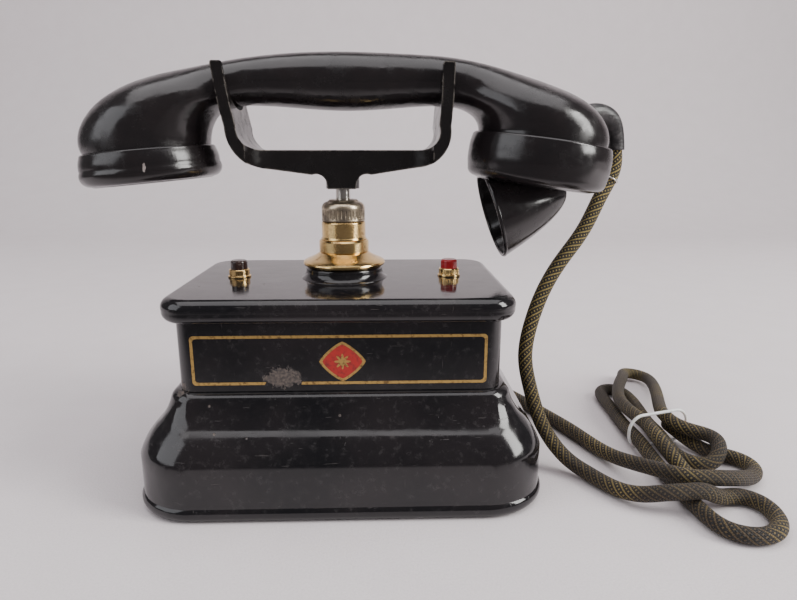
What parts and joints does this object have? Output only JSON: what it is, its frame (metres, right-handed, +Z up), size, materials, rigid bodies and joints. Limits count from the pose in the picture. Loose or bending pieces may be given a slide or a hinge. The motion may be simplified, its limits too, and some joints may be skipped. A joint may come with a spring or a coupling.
{
  "type": "crank telephone",
  "caption": "Desk telephone with stepped housing, sprung fork cradle on a brass column, lift-off handset with a mouth horn, push buttons, rear hand crank with generator, and braided cord.",
  "frame": {"origin": "centre of the felt under the base, on the table", "axes": "+X to the right of a person facing the telephone, +Y towards its back where the crank is, +Z up"},
  "size_m": [0.309, 0.1801, 0.1894],
  "materials": {
    "black_enamel": "gloss",
    "black_casting": "gloss",
    "bakelite": "gloss",
    "brass": "polished",
    "aged_brass": "worn",
    "bronze": "satin",
    "nickel": "polished",
    "steel": "satin",
    "cast_iron": "rough",
    "soft_iron": "satin",
    "magnet_steel": "satin",
    "button_dark": "gloss",
    "button_red": "gloss",
    "insulator": "satin",
    "felt": "matt",
    "rubber": "matt",
    "silk_wire": "satin",
    "wire_cover": "matt",
    "boxwood": "satin",
    "tinned_can": "satin",
    "aluminium": "satin",
    "diaphragm": "satin",
    "braid": "woven",
    "white_tie": "satin"
  },
  "bodies": {
    "base": {"base_moulding": "black_enamel", "body_case": "black_enamel", "lid": "black_enamel", "base_plate": "steel", "felt_pad": "felt", "screws": "steel", "cord_bush": "rubber", "column_flange": "brass", "column_sleeve": "brass", "column_locknut": "steel", "column_nut": "aged_brass", "return_spring": "steel", "collar_plain": "brass", "collar_knurled": "brass", "button_springs": "steel", "contact_blocks": "insulator", "leaf_contacts": "bronze", "switch_bracket": "steel", "pivot_pins": "steel", "generator_bed": "cast_iron", "pole_pieces": "soft_iron", "magneto_magnets": "magnet_steel", "generator_end_plates": "brass", "crank_bush": "brass", "ringer_frame": "steel", "ringer_magnet": "magnet_steel", "ringer_coils": "silk_wire", "gongs": "nickel", "gong_posts": "brass", "induction_bobbin": "boxwood", "induction_winding": "silk_wire", "capacitor": "tinned_can", "terminal_strip": "insulator", "wiring": "wire_cover", "handset_cord": "braid", "table_cord": "braid", "cord_tie": "white_tie"},
    "cradle": {"cradle_fork": "black_casting", "plunger_rod": "nickel", "rod_collar": "steel"},
    "handset": {"handset_body": "bakelite", "receiver_cap": "bakelite", "receiver_unit": "aluminium", "receiver_diaphragm": "diaphragm", "transmitter_cap": "bakelite", "transmitter_horn": "bakelite", "transmitter_capsule": "aluminium", "cord_sleeve": "rubber"},
    "black_button": {"button_black": "button_dark"},
    "red_button": {"button_red": "button_red"},
    "switch": {"switch_lever": "steel"},
    "crank": {"crank_shaft": "nickel", "drive_gear": "brass", "crank_arm": "nickel", "knob_pin": "steel"},
    "knob": {"crank_knob": "bakelite"},
    "generator_armature": {"armature": "soft_iron", "armature_winding": "silk_wire", "armature_pinion": "steel"},
    "bell_hammer": {"clapper": "soft_iron"}
  },
  "joints": [
    {"name": "cradle_slide", "type": "slide", "parent": "base", "child": "cradle", "axis": [0, 0, 1], "range_m": [0, 0.006], "stiffness_N_per_m": 200, "springref_m": 0.02, "deforming": ["return_spring", "handset_cord"]},
    {"name": "handset_lift", "type": "slide", "parent": "cradle", "child": "handset", "axis": [0, 0, 1], "range_m": [0, 0.07], "deforming": ["handset_cord"]},
    {"name": "black_button_press", "type": "slide", "parent": "base", "child": "black_button", "axis": [0, 0, -1], "range_m": [0, 0.0025], "stiffness_N_per_m": 300, "springref_m": -0.004, "deforming": ["button_springs", "leaf_contacts"]},
    {"name": "red_button_press", "type": "slide", "parent": "base", "child": "red_button", "axis": [0, 0, -1], "range_m": [0, 0.0025], "stiffness_N_per_m": 300, "springref_m": -0.004, "deforming": ["button_springs", "leaf_contacts"]},
    {"name": "switch_rock", "type": "hinge", "parent": "base", "child": "switch", "pos_m": [0, 0.022, 0.033], "axis": [-1, 0, 0], "range_deg": [0, 15.7], "deforming": ["leaf_contacts"]},
    {"name": "crank_turn", "type": "hinge", "parent": "base", "child": "crank", "pos_m": [-0.036, 0, 0.062], "axis": [0, 1, 0], "continuous": true},
    {"name": "knob_spin", "type": "hinge", "parent": "crank", "child": "knob", "pos_m": [-0.036, 0, 0.026], "axis": [0, 1, 0], "continuous": true},
    {"name": "armature_spin", "type": "hinge", "parent": "base", "child": "generator_armature", "pos_m": [-0.036, 0, 0.036], "axis": [0, 1, 0], "continuous": true},
    {"name": "hammer_swing", "type": "hinge", "parent": "base", "child": "bell_hammer", "pos_m": [0.038, 0, 0.0165], "axis": [1, 0, 0], "range_deg": [-1.5, 1.5]}
  ],
  "couplings": [
    {"joint": "switch_rock", "follows": "cradle_slide", "rad_per_m": 45.455},
    {"joint": "armature_spin", "follows": "crank_turn", "ratio": -4}
  ]
}
